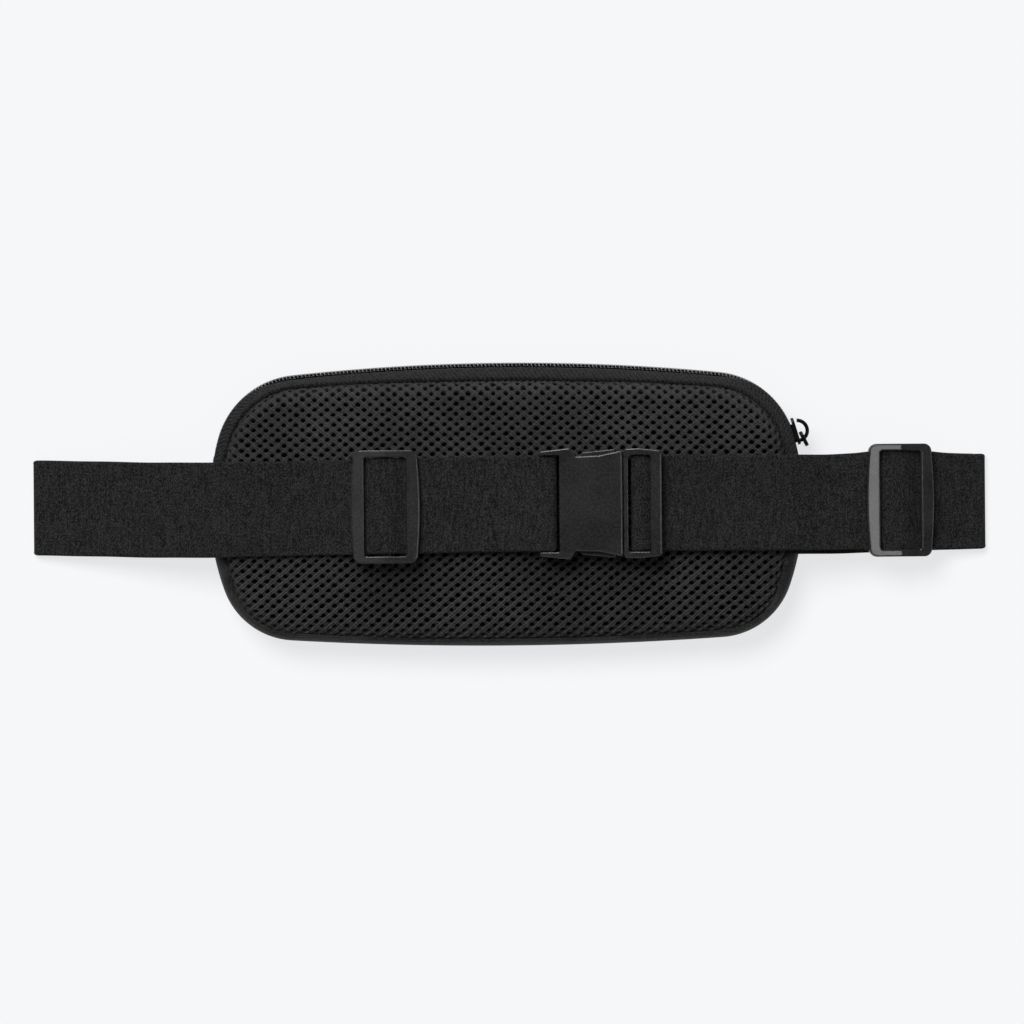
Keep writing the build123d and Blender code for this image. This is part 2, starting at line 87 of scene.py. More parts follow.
# ---------------------------------------------------------------- camera
VIEW_WIDTH = 408.8               # what the frame shows at the height of the folds
VIEW_DISTANCE = 8000.0
VIEW_HEIGHT = 3.0
VIEW_CENTRE = (2.2, -3.1)
VIEW_ROLL = 0.46                 # degrees


def make_camera():
    """Straight down on the bag, from far away."""
    camera = bpy.data.objects.new("camera", bpy.data.cameras.new("camera"))
    bpy.context.scene.collection.objects.link(camera)
    camera.data.sensor_width = 36.0
    camera.data.lens = camera.data.sensor_width * VIEW_DISTANCE / VIEW_WIDTH
    camera.data.clip_end = 60.0
    x, y = VIEW_CENTRE
    camera.location = (x * MM, y * MM, (VIEW_HEIGHT + VIEW_DISTANCE) * MM)
    camera.rotation_euler = Euler((0, 0, math.radians(-VIEW_ROLL)))
    bpy.context.scene.camera = camera


# ---------------------------------------------------------------- shader helpers
UV_NAME = "cloth_mm"             # surface coordinates of woven pieces, in millimetres


class Shader:
    """A material under construction, with short names for the nodes it needs."""

    def __init__(self, name, roughness, specular, sheen=0.0):
        self.material = bpy.data.materials.new(name)
        self.material.use_nodes = True
        self.tree = self.material.node_tree
        self.surface = self.tree.nodes["Principled BSDF"]
        self.surface.inputs["Roughness"].default_value = roughness
        self.surface.inputs["Specular IOR Level"].default_value = specular
        self.surface.inputs["Sheen Weight"].default_value = sheen
        self.surface.inputs["Sheen Roughness"].default_value = 0.5

    def node(self, kind, **settings):
        """New node with its properties set."""
        made = self.tree.nodes.new(kind)
        for key, value in settings.items():
            setattr(made, key, value)
        return made

    def feed(self, source, target):
        """Link a socket, or set a plain value."""
        if isinstance(source, bpy.types.NodeSocket):
            self.tree.links.new(source, target)
        else:
            target.default_value = source

    def place(self, scale=(1.0, 1.0, 1.0)):
        """Object coordinates in millimetres, times a scale."""
        scaled = self.node("ShaderNodeMapping")
        scaled.inputs["Scale"].default_value = [value / MM for value in scale]
        self.feed(self.node("ShaderNodeTexCoord").outputs["Object"], scaled.inputs["Vector"])
        return scaled.outputs["Vector"]

    def uv(self):
        """Surface coordinates in millimetres, written by the mesh code."""
        return self.node("ShaderNodeUVMap", uv_map=UV_NAME).outputs["UV"]

    def noise(self, vector, detail=2.0, roughness=0.5):
        """Fractal noise from 0 to 1, one cell per unit of the vector."""
        made = self.node("ShaderNodeTexNoise")
        made.inputs["Scale"].default_value = 1.0
        made.inputs["Detail"].default_value = detail
        made.inputs["Roughness"].default_value = roughness
        self.feed(vector, made.inputs["Vector"])
        return made.outputs["Fac"]

    def math(self, operation, first, second=0.0):
        """One step of arithmetic on sockets or plain numbers."""
        made = self.node("ShaderNodeMath", operation=operation)
        self.feed(first, made.inputs[0])
        self.feed(second, made.inputs[1])
        return made.outputs["Value"]

    def split(self, vector):
        """X, Y and Z of a vector socket."""
        made = self.node("ShaderNodeSeparateXYZ")
        self.feed(vector, made.inputs["Vector"])
        return made.outputs

    def wave(self, value, period, phase=0.0):
        """Sine of a length, from 0 to 1, with a period in the same unit."""
        angle = self.math("MULTIPLY", value, 2 * math.pi / period)
        angle = self.math("ADD", angle, phase)
        return self.math("MULTIPLY", self.math("ADD", self.math("SINE", angle), 1.0), 0.5)

    def ramp(self, value, low, high, start, end):
        """Blend between two greys or colours as value goes from start to end."""
        made = self.node("ShaderNodeValToRGB")
        made.color_ramp.elements[0].position = start
        made.color_ramp.elements[1].position = end
        made.color_ramp.elements[0].color = (*low, 1.0)
        made.color_ramp.elements[1].color = (*high, 1.0)
        self.feed(value, made.inputs["Fac"])
        return made.outputs["Color"]

    def mix(self, share, first, second):
        """Colour that goes from first to second as share rises."""
        made = self.node("ShaderNodeMix", data_type="RGBA")
        self.feed(share, made.inputs["Factor"])
        self.feed(first, made.inputs["A"])
        self.feed(second, made.inputs["B"])
        return made.outputs["Result"]

    def bump(self, height, distance, strength, below=None):
        """Normal of a relief so many millimetres deep, on top of another normal."""
        made = self.node("ShaderNodeBump")
        made.inputs["Strength"].default_value = strength
        made.inputs["Distance"].default_value = distance * MM
        self.feed(height, made.inputs["Height"])
        if below is not None:
            self.feed(below, made.inputs["Normal"])
        return made.outputs["Normal"]

    def finish(self, colour, normal=None, roughness=None):
        """Connect the surface and hand over the material."""
        self.feed(colour, self.surface.inputs["Base Color"])
        if normal is not None:
            self.feed(normal, self.surface.inputs["Normal"])
        if roughness is not None:
            self.feed(roughness, self.surface.inputs["Roughness"])
        return self.material


def grey(value):
    """Near-neutral dark colour, very slightly blue."""
    return (value, value, value * 1.02)


BLACK, WHITE = (0.0,) * 3, (1.0,) * 3


# ---------------------------------------------------------------- materials
RIB_PITCH = 1.1                  # elastic's ribs along the belt
PICK_PITCH = 1.3                 # its upright picks


def webbing_material():
    """Elastic webbing: staggered upright picks, fine ribs along the belt, loose fibres."""
    s = Shader("webbing", roughness=0.85, specular=0.12, sheen=0.03)
    x, y, _ = s.split(s.place())
    row = s.math("FLOOR", s.math("DIVIDE", y, RIB_PITCH))
    picks = s.wave(x, PICK_PITCH, s.math("MULTIPLY", row, math.pi))
    ribs = s.wave(y, RIB_PITCH)
    height = s.math("MULTIPLY", picks, s.math("ADD", s.math("MULTIPLY", ribs, 0.7), 0.3))
    flecks = s.noise(s.place(scale=(2.2, 1.3, 2.2)), detail=1.5, roughness=0.7)
    upright = s.noise(s.place(scale=(1.0, 0.16, 1.0)), detail=1.0)
    patches = s.noise(s.place(scale=(0.04, 0.07, 0.04)), detail=2.0)
    colour = s.ramp(flecks, grey(0.001), grey(0.060), 0.45, 0.58)
    woven = s.ramp(height, grey(0.004), grey(0.032), 0.1, 0.9)
    colour = s.mix(0.3, colour, woven)
    striped = s.ramp(upright, grey(0.004), grey(0.032), 0.40, 0.60)
    colour = s.mix(0.3, colour, striped)
    colour = s.mix(s.math("MULTIPLY", patches, 0.25), colour, (*grey(0.011), 1.0))
    normal = s.bump(height, 0.16, 0.5)
    normal = s.bump(flecks, 0.22, 0.6, normal)
    return s.finish(colour, normal)


def air_mesh_material():
    """Knitted net: pairs of threads climb between the holes, with fuzzier ones across; their pale colour is
    a painted sheen.
    """
    s = Shader("air_mesh", roughness=0.6, specular=0.3, sheen=0.05)
    x, y, _ = s.split(s.uv())
    step = math.hypot(HOLE_PITCH / 2, ROW_PITCH)
    gap = HOLE_PITCH * ROW_PITCH / step                   # between neighbouring slanted lines of holes
    rise, run = ROW_PITCH / step, HOLE_PITCH / 2 / step   # direction of those lines
    climb = s.math("SUBTRACT", s.math("MULTIPLY", y, run), s.math("MULTIPLY", x, rise))
    fall = s.math("ADD", s.math("MULTIPLY", y, run), s.math("MULTIPLY", x, rise))
    low = -math.pi / 2
    pairs = s.math("MULTIPLY", s.wave(climb, gap / 3, -low), s.wave(climb, gap, low))
    cross = s.math("MULTIPLY", s.wave(fall, gap / 3, -low), s.wave(fall, gap, low))
    twist = s.wave(fall, THREAD_TWIST)
    upward = s.math("ADD", s.math("MULTIPLY", y, 0.01), 0.5)
    upper_share = s.ramp(upward, BLACK, WHITE, 0.28, 0.58)      # towards the top the climbing threads weaken and the cross threads strengthen, in relief and in painted sheen
    beads = s.math("ADD", s.math("MULTIPLY", twist, 0.6), 0.6)
    beads = s.math("SUBTRACT", beads, s.math("MULTIPLY", upper_share, 0.38))
    threads = s.math("MULTIPLY", pairs, beads)
    weight = s.math("ADD", s.math("MULTIPLY", upper_share, 0.32), 0.4)
    threads = s.math("MAXIMUM", threads, s.math("MULTIPLY", cross, weight))
    threads = s.math("POWER", threads, 1.7)
    fibres = s.noise(s.place(scale=(1.4, 1.4, 1.4)), detail=3.0, roughness=0.8)
    patches = s.noise(s.place(scale=(0.03, 0.045, 0.03)), detail=2.0)
    colour = s.ramp(fibres, grey(0.001), grey(0.034), 0.40, 0.64)
    # painted sheen: the threads are painted pale grey over the fibres
    colour = s.mix(threads, colour, (*grey(0.115), 1.0))
    shade = s.ramp(patches, BLACK, WHITE, 0.35, 0.65)
    colour = s.mix(s.math("MULTIPLY", shade, 0.4), colour, (*grey(0.006), 1.0))
    normal = s.bump(threads, 0.22, 0.7)
    normal = s.bump(fibres, 0.35, 0.8, normal)
    return s.finish(colour, normal)


def backing_material():
    """Dark inner layer seen through the holes of the mesh."""
    s = Shader("mesh_backing", roughness=0.95, specular=0.05)
    fibres = s.noise(s.place(scale=(1.8, 1.8, 1.8)), detail=3.0)
    colour = s.ramp(fibres, grey(0.0012), grey(0.005), 0.3, 0.8)
    return s.finish(colour, s.bump(fibres, 0.2, 0.5))


def tape_material():
    """Zip tape: fine twill with slanting lines."""
    s = Shader("zip_tape", roughness=0.75, specular=0.2, sheen=0.04)
    along, across, _ = s.split(s.uv())
    diagonal = s.math("ADD", along, s.math("MULTIPLY", across, -0.9))
    lines = s.wave(diagonal, 1.9)
    threads = s.wave(along, 0.85)
    fibres = s.noise(s.place(scale=(1.4, 1.4, 1.4)), detail=2.5, roughness=0.7)
    height = s.math("MULTIPLY", lines, s.math("ADD", s.math("MULTIPLY", threads, 0.35), 0.65))
    colour = s.ramp(height, grey(0.0055), grey(0.033), 0.1, 0.9)
    colour = s.mix(0.45, colour, s.ramp(fibres, grey(0.002), grey(0.046), 0.42, 0.60))
    normal = s.bump(height, 0.22, 0.7)
    normal = s.bump(fibres, 0.12, 0.5, normal)
    return s.finish(colour, normal)


def shell_material():
    """Front cloth: plain weave with a faint tonal pattern of large soft patches."""
    s = Shader("shell_cloth", roughness=0.72, specular=0.2, sheen=0.03)
    x, y, z = s.split(s.place())
    high = s.math("ADD", y, z)
    weave = s.math("MULTIPLY", s.wave(x, 1.0), s.wave(high, 1.0, math.pi / 2))
    shapes = s.noise(s.place(scale=(0.045, 0.07, 0.07)), detail=2.0, roughness=0.6)
    fibres = s.noise(s.place(scale=(1.5, 1.5, 1.5)), detail=2.0, roughness=0.7)
    colour = s.ramp(shapes, (0.010, 0.010, 0.0098), (0.026, 0.026, 0.0235), 0.47, 0.53)
    colour = s.mix(s.math("MULTIPLY", weave, 0.55), colour, (*grey(0.050), 1.0))
    colour = s.mix(0.4, colour, s.ramp(fibres, grey(0.002), grey(0.044), 0.40, 0.62))
    normal = s.bump(weave, 0.16, 0.6)
    normal = s.bump(fibres, 0.10, 0.4, normal)
    return s.finish(colour, normal)


def coil_material():
    """Nylon monofilament of the zip teeth, glossy under a coat, with the outermost crowns painted paler as
    a painted highlight.
    """
    s = Shader("zip_teeth", roughness=0.28, specular=0.9)
    s.surface.inputs["Coat Weight"].default_value = 1.0
    s.surface.inputs["Coat Roughness"].default_value = 0.2
    _, _, height = s.split(s.place())
    crown_share = s.math("DIVIDE", height, 20.0)
    # painted highlight: the outermost crowns of the back row are painted pale grey to stand for the glints
    # on the teeth
    painted_glint = s.ramp(crown_share, BLACK, WHITE, 0.788, 0.796)
    fibres = s.noise(s.place(scale=(1.2, 1.2, 1.2)), detail=2.0)
    colour = s.ramp(fibres, grey(0.0015), grey(0.004), 0.3, 0.7)
    colour = s.mix(painted_glint, colour, (*grey(0.30), 1.0))
    return s.finish(colour, s.bump(fibres, 0.02, 0.3))


def hardware_material():
    """Satin moulded plastic with a very fine texture and worn, rounded edges."""
    s = Shader("hardware", roughness=0.36, specular=0.5)
    grain = s.noise(s.place(scale=(1.1, 1.1, 1.1)), detail=3.0, roughness=0.7)
    cloud = s.noise(s.place(scale=(0.07, 0.07, 0.07)), detail=3.0)
    colour = s.ramp(cloud, grey(0.020), grey(0.034), 0.35, 0.65)
    colour = s.mix(0.35, colour, s.ramp(grain, grey(0.004), grey(0.044), 0.40, 0.62))
    rough = s.math("ADD", s.math("MULTIPLY", grain, 0.05), 0.19)
    edge = s.node("ShaderNodeBevel", samples=8)
    edge.inputs["Radius"].default_value = 0.7 * MM
    return s.finish(colour, s.bump(grain, 0.02, 0.4, edge.outputs["Normal"]), rough)


def lacquer_material():
    """Black lacquered zinc of the slider, its loop and its pull."""
    s = Shader("zip_metal", roughness=0.35, specular=0.22)
    wear = s.noise(s.place(scale=(0.8, 0.8, 0.8)), detail=3.0)
    colour = s.ramp(wear, grey(0.0008), grey(0.003), 0.35, 0.7)
    rough = s.math("ADD", s.math("MULTIPLY", wear, 0.2), 0.3)
    return s.finish(colour, s.bump(wear, 0.05, 0.3), rough)


# ---------------------------------------------------------------- mesh helpers
def make_piece(name, points, faces, material, body="root", uv=None):
    """Mesh object from millimetre points; it rides on a body unless body is None."""
    mesh = bpy.data.meshes.new(name)
    mesh.from_pydata((np.asarray(points) * MM).tolist(), [], faces)
    mesh.validate()
    mesh.polygons.foreach_set("use_smooth", [True] * len(mesh.polygons))
    if uv is not None:
        layer = mesh.uv_layers.new(name=UV_NAME)
        index = np.empty(len(mesh.loops), dtype=np.int32)
        mesh.loops.foreach_get("vertex_index", index)
        layer.data.foreach_set("uv", np.asarray(uv, dtype=np.float32)[index].ravel())
    mesh.materials.append(material)
    piece = bpy.data.objects.new(name, mesh)
    bpy.context.scene.collection.objects.link(piece)
    if body:
        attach(piece, body)
    return piece


def grid_faces(rows, columns, close_rows=False):
    """Quads between rows of points; each row is a closed ring."""
    faces = []
    for i in range(rows if close_rows else rows - 1):
        row, after = i * columns, (i + 1) % rows * columns
        for j in range(columns):
            k = (j + 1) % columns
            faces.append((row + j, row + k, after + k, after + j))
    return faces


def tube(path, radius, sides, reference):
    """Round tube along a path; reference holds directions that the path never follows."""
    path = np.asarray(path, dtype=float)
    along = np.gradient(path, axis=0)
    along /= np.linalg.norm(along, axis=1, keepdims=True)
    side = np.cross(along, reference)
    side /= np.linalg.norm(side, axis=1, keepdims=True)
    up = np.cross(side, along)
    turn = np.linspace(0, 2 * math.pi, sides, endpoint=False)
    ring = side[:, None] * np.cos(turn)[None, :, None] + up[:, None] * np.sin(turn)[None, :, None]
    points = path[:, None] + ring * radius
    faces = grid_faces(len(path), sides)
    last = (len(path) - 1) * sides
    faces.append(tuple(reversed(range(sides))))
    faces.append(tuple(last + k for k in range(sides)))
    return points.reshape(-1, 3), faces


def smoothstep(value):
    """Smooth rise from 0 to 1 as value goes from 0 to 1."""
    value = np.clip(value, 0, 1)
    return value * value * (3 - 2 * value)


# ---------------------------------------------------------------- outline of the pouch
def tangent_centre(far_y, far_r, corner_r):
    """Middle of a corner arc that touches a long edge arc and a side arc."""
    side_x = HALF_LENGTH - SIDE_ARC_R
    first, second = far_r - corner_r, SIDE_ARC_R - corner_r
    gap = math.hypot(side_x, far_y)
    along = (first**2 - second**2 + gap**2) / (2 * gap)
    height = math.sqrt(first**2 - along**2)
    unit = np.array([side_x, -far_y]) / gap
    across = np.array([-unit[1], unit[0]])
    options = [np.array([0, far_y]) + unit * along + across * height * k for k in (-1, 1)]
    return max(options, key=lambda point: point[0])


def outline_arcs():
    """Arcs of the outline, anticlockwise from the right side: centre, radius, angles."""
    top_y = HALF_HEIGHT - TOP_ARC_R
    low_y = BOTTOM_ARC_R - HALF_HEIGHT
    side_x = HALF_LENGTH - SIDE_ARC_R
    upper = tangent_centre(top_y, TOP_ARC_R, TOP_CORNER_R)
    lower = tangent_centre(low_y, BOTTOM_ARC_R, BOTTOM_CORNER_R)
    flat = math.pi / 2
    side_up = math.atan2(upper[1], upper[0] - side_x)
    side_down = math.atan2(lower[1], lower[0] - side_x)
    top = math.atan2(upper[1] - top_y, upper[0])
    bottom = math.atan2(lower[1] - low_y, lower[0])
    left = np.array([-1, 1])
    return [
        ((side_x, 0), SIDE_ARC_R, side_down, side_up),
        (upper, TOP_CORNER_R, side_up, top),
        ((0, top_y), TOP_ARC_R, top, 2 * flat - top),
        (upper * left, TOP_CORNER_R, 2 * flat - top, 2 * flat - side_up),
        ((-side_x, 0), SIDE_ARC_R, 2 * flat - side_up, 2 * flat - side_down),
        (lower * left, BOTTOM_CORNER_R, 2 * flat - side_down, 2 * flat - bottom),
        ((0, low_y), BOTTOM_ARC_R, 2 * flat - bottom, 4 * flat + bottom),
        (lower, BOTTOM_CORNER_R, 4 * flat + bottom, 4 * flat + side_down),
    ]


ARCS = outline_arcs()


class Ring:
    """Evenly spaced samples of the outline that can be moved inwards."""

    def __init__(self, step):
        centres, radii, angles, lengths = [], [], [], []
        run = 0.0
        for centre, radius, start, end in ARCS:
            count = max(2, round((end - start) * radius / step))
            share = (np.arange(count) + 0.5) / count
            centres += [centre] * count
            radii += [radius] * count
            angles += list(start + (end - start) * share)
            lengths += list(run + radius * (end - start) * share)
            run += radius * (end - start)
        self.centre = np.array(centres, dtype=float)
        self.radius = np.array(radii)
        self.angle = np.array(angles)
        self.length = np.array(lengths)
        self.total = run
        self.normal = np.stack([np.cos(self.angle), np.sin(self.angle)], axis=1)

    def at(self, inset):
        """Plan points at a distance inside the outline, one for each sample."""
        reach = (self.radius - np.broadcast_to(inset, self.radius.shape))[:, None]
        return self.centre + self.normal * reach

    def layer(self, inset, z):
        """The same points at a height."""
        return np.column_stack([self.at(inset), np.broadcast_to(z, len(self.radius))])

    def part(self, keep):
        """The samples where keep is true, in order and starting after the gap."""
        chosen = Ring.__new__(Ring)
        shift = -int(np.argmax(~keep & np.roll(keep, -1)) + 1) if not keep.all() else 0
        for name in ("centre", "radius", "angle", "length", "normal"):
            rolled = np.roll(getattr(self, name), shift, axis=0)
            setattr(chosen, name, rolled[np.roll(keep, shift)])
        chosen.length = np.unwrap(chosen.length, period=self.total)
        chosen.total = self.total
        return chosen


def back_inset(x, normal_y):
    """Plan distance of the back seam inside the outline: wide at the zip, narrow below."""
    bottom = 2.1
    side = 4.0 + 0.5 * smoothstep(x / 80)
    top = 4.7 + 0.6 * smoothstep(x / 80) + 1.7 * (1 - smoothstep((np.abs(x) - 12) / 78))
    low = bottom + (side - bottom) * smoothstep((normal_y + 0.85) / 0.75)
    return low + (top - side) * smoothstep(normal_y / 0.8)


def seam_of(ring):
    """Inset of the back seam at each sample of a ring."""
    return back_inset(ring.at(4.0)[:, 0], ring.normal[:, 1])


def crown(x, y):
    """Height of the padded back."""
    return BACK_TOP_Z - y**2 / (2 * BACK_R_ACROSS) - x**2 / (2 * BACK_R_ALONG)


def locate(points):
    """Distance inside the outline and outward normal of plan points."""
    best = np.full(len(points), 1e6)
    normal = np.zeros((len(points), 2))
    for centre, radius, start, end in ARCS:
        offset = points - np.array(centre)
        angle = np.arctan2(offset[:, 1], offset[:, 0])
        angle = start + np.mod(angle - start, 2 * math.pi)
        reach = np.linalg.norm(offset, axis=1)
        inset = radius - reach
        better = (angle <= end) & (inset < best)
        best[better] = inset[better]
        normal[better] = offset[better] / np.maximum(reach[better], 1e-9)[:, None]
    return best, normal


# ---------------------------------------------------------------- air mesh back
HOLE_PITCH = 4.9                 # along a row
ROW_PITCH = 2.0                  # rows are staggered by half a pitch
HOLE_HALF = (1.12, 0.79)         # half size of a hole along and across its tilt
HOLE_TILT = math.radians(14)
HOLE_SPREAD = 0.11               # seeded variation of a hole's size
HOLE_SHIFT = 0.10                # and of its place
THREAD_TWIST = 0.75              # beads along a knitted thread
ROLL_W = 6.2                     # width over which the back turns down to its seam
ROLL_LENGTH = 8.6                # cloth used by that turn
RIM_DROP_Z = SEAM_Z - 1.7
SEAM_GROOVE = 0.9                # open gap beside the seam


def drape(points, lift):
    """Lay flat cloth over the crowned back and down to its seam."""
    inset, normal = locate(points)
    edge = back_inset(points[:, 0], normal[:, 1]) + SEAM_GROOVE
    used = np.clip(edge + ROLL_W - inset, 0, ROLL_LENGTH)
    turn = used / ROLL_LENGTH * math.pi / 2
    plan = points + normal * (ROLL_W * np.sin(turn) - used)[:, None]
    top = crown(points[:, 0], points[:, 1])
    height = RIM_DROP_Z + (top - RIM_DROP_Z) * np.cos(turn)
    tilt = np.sin(turn)[:, None] * normal
    plan = plan + tilt * lift[:, None]
    height = height + lift * np.cos(turn)
    return np.column_stack([plan, height])


def cell_outline():
    """Corners and edge middles of the six-sided cell round one hole, with rib heights."""
    half, row = HOLE_PITCH / 2, ROW_PITCH
    reach = (half**2 + row**2) / 2
    tip = reach / half
    shoulder = (reach - row * row) / half
    corners = [
        (tip, 0), (shoulder, row), (-shoulder, row), (-tip, 0), (-shoulder, -row), (shoulder, -row),
    ]
    lifts = [-0.12, -0.05, 0.40] * 2                      # strands that climb to the right stand proud
    points, heights = [], []
    for k in range(6):
        here, after = np.array(corners[k]), np.array(corners[(k + 1) % 6])
        points += [here, (here + after) / 2]
        heights += [0.06, lifts[k]]
    return np.array(points), np.array(heights)


def make_air_mesh(material):
    """Knitted net with real holes over the whole back."""
    outer, rib = cell_outline()
    spokes = np.arctan2(outer[:, 1], outer[:, 0])
    turned = spokes - HOLE_TILT
    hole = np.stack([HOLE_HALF[0] * np.cos(turned), HOLE_HALF[1] * np.sin(turned)], axis=1)
    cos, sin = math.cos(HOLE_TILT), math.sin(HOLE_TILT)
    hole = hole @ np.array([[cos, sin], [-sin, cos]])
    rings = [outer, hole + (outer - hole) * 0.45, hole, hole * 0.82]
    lifts = [rib, rib * 0.5 + 0.34, rib * 0 - 0.28, rib * 0 - 1.5]

    columns = int(HALF_LENGTH / HOLE_PITCH) + 2
    rows = int(HALF_HEIGHT / ROW_PITCH) + 2
    middles = np.array([
        ((i + 0.5 * (j % 2)) * HOLE_PITCH, j * ROW_PITCH)
        for j in range(-rows, rows + 1) for i in range(-columns, columns + 1)
    ])
    inset, normal = locate(middles)
    inside = inset > back_inset(middles[:, 0], normal[:, 1]) + SEAM_GROOVE + ROLL_W - ROLL_LENGTH
    inside &= (np.abs(middles[:, 0]) < HALF_LENGTH) & (inset < 500)
    middles = middles[inside]

    chance = np.random.default_rng(7)
    size = 1 + HOLE_SPREAD * chance.standard_normal((len(middles), 1, 1)).clip(-1.6, 1.6)
    size -= 0.12 * smoothstep((middles[:, None, 1:] - 10) / 30)       # smaller holes above the belt
    off = HOLE_SHIFT * chance.standard_normal((len(middles), 1, 2)).clip(-1.6, 1.6)
    flat = [(middles[:, None] + rings[0][None]).reshape(-1, 2)]
    for ring in rings[1:]:
        flat.append((middles[:, None] + ring[None] * size + off).reshape(-1, 2))
    flat = np.concatenate(flat)
    lift = np.concatenate([np.tile(each, len(middles)) for each in lifts])
    sides = len(outer)
    count = len(middles) * sides
    faces = []
    for base in range(0, (len(rings) - 1) * count, sides):
        below = base + count
        for k in range(sides):
            after = (k + 1) % sides
            faces.append((base + k, base + after, below + after, below + k))
    wobble = 0.10 * np.stack([
        np.sin(flat[:, 1] * 0.9 + flat[:, 0] * 0.13), np.sin(flat[:, 0] * 0.8 - flat[:, 1] * 0.21)
    ], axis=1)
    # Neighbouring cells share their corners: points within 0.002 mm become one.
    rounded = np.round(np.column_stack([flat, lift]) * 500).astype(np.int64)
    _, first, inverse = np.unique(rounded, axis=0, return_index=True, return_inverse=True)
    inverse = inverse.reshape(-1)
    faces = [tuple(inverse[list(face)]) for face in faces]
    points = drape((flat + wobble)[first], lift[first])
    piece = make_piece("air_mesh_back", points, faces, material, uv=flat[first])
    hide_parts("back_mesh_panel")


def make_backing(material):
    """Foam pad under the mesh: crowned on top, flat underneath."""
    ring = Ring(3.0)
    rim = ring.at(seam_of(ring) + SEAM_GROOVE + 0.5)
    rim_z = RIM_DROP_Z - 0.3
    count = len(rim)
    points = [np.column_stack([rim, np.full(count, z)]) for z in (rim_z - 0.7, rim_z)]
    for share in (0.985, 0.96, 0.92, 0.85, 0.7, 0.5, 0.25, 0.04):
        plan = rim * share
        inset, _ = locate(plan)
        height = crown(plan[:, 0], plan[:, 1]) - 1.9
        rolled = smoothstep((inset - 3.0) / 9.0) ** 0.5
        points.append(np.column_stack([plan, rim_z + (height - rim_z) * rolled]))
    faces = grid_faces(len(points), count)
    faces.append(tuple((len(points) - 1) * count + k for k in range(count)))
    faces.append(tuple(reversed(range(count))))
    piece = make_piece("foam_backing", np.concatenate(points), faces, material)
    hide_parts("back_foam_pad", "back_lining", "seam_binding_back")


# ---------------------------------------------------------------- cloth shell
def strip(name, ring, profile, thickness, material):
    """Open band of cloth with a wall; profile gives (inset, z) for each sample, edge to edge."""
    outside = [ring.layer(inset, z) for inset, z in profile]
    inside = [ring.layer(inset + thickness, z - 0.25 * thickness) for inset, z in profile]
    layers = outside + inside[::-1]
    points = np.stack(layers, axis=1)
    samples, rows = points.shape[:2]
    faces = grid_faces(samples, rows)
    faces.append(tuple(range(rows)))
    faces.append(tuple(reversed(range((samples - 1) * rows, samples * rows))))
    across = np.zeros(rows)
    for k in range(1, len(profile)):
        a, b = (np.array([np.mean(value) for value in profile[m]]) for m in (k - 1, k))
        across[k] = across[k - 1] + np.linalg.norm(b - a)
    across[len(profile):] = across[: len(profile)][::-1]
    uv = np.stack([
        np.broadcast_to(ring.length[:, None], (samples, rows)),
        np.broadcast_to(across[None], (samples, rows)),
    ], axis=2).reshape(-1, 2)
    return make_piece(name, points.reshape(-1, 3), faces, material, uv=uv)


def zip_side(ring):
    """Samples of the outline where the zip runs."""
    return ring.at(0)[:, 1] > ZIP_END_Y


def make_gusset(material):
    """Cloth round the sides and bottom, between the front and the back seam."""
    whole = Ring(1.5)
    ring = whole.part(whole.at(0)[:, 1] < ZIP_END_Y + 1.0)
    seam = seam_of(ring)
    profile = [
        (seam + 0.9, SEAM_Z - 2.2), (seam + 0.5, SEAM_Z - 1.0), (seam + 0.1, SEAM_Z - 0.1),
        (seam - 0.5, SEAM_Z + 0.15), (seam * 0.72, SEAM_Z - 0.1), (seam * 0.38, SEAM_Z - 1.3),
        (seam * 0.12 + 0.1, SEAM_Z - 3.4),
        (0.15, 13.2), (0.2, 11.0), (0.7, FRONT_SEAM_Z + 0.3), (1.5, FRONT_SEAM_Z - 0.4),
    ]
    piece = strip("gusset_cloth", ring, profile, 0.7, material)
    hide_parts("bottom_gusset")


def make_front(material):
    """Front cloth: rounds under from the front seam to the flat face that it lies on."""
    ring = Ring(2.0)
    levels = [
        (1.9, FRONT_SEAM_Z), (1.3, 8.7), (1.1, 7.6), (1.35, 5.6),
        (2.4, 3.4), (4.4, 1.7), (7.4, 0.55), (11.0, 0.08),
    ]
    layers = [ring.layer(inset, z) for inset, z in levels]
    inner = layers[-1][:, :2]
    for share in (0.94, 0.8, 0.6, 0.4, 0.2, 0.04):
        layers.append(np.column_stack([inner * share, np.full(len(inner), 0.03)]))
    for share in (0.04, 0.5, 1.0):
        layers.append(np.column_stack([inner * share, np.full(len(inner), 0.8)]))
    for inset, z in levels[::-1]:
        layers.append(ring.layer(inset + 0.8, z + 0.35))
    faces = grid_faces(len(layers), len(inner), close_rows=True)
    faces = [tuple(reversed(face)) for face in faces]
    piece = make_piece("front_cloth", np.concatenate(layers), faces, material)
    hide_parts("front_panel", "front_lining", "seam_binding_front")


# ---------------------------------------------------------------- zip
COIL_PITCH = 1.53
COIL_R = 0.42                    # half thickness of the wire
COIL_SIDES = 6                   # of the wire's section
COIL_STEPS = 14                  # points in each turn
TAPE_INSET = 2.9                 # depth of both tapes behind the teeth


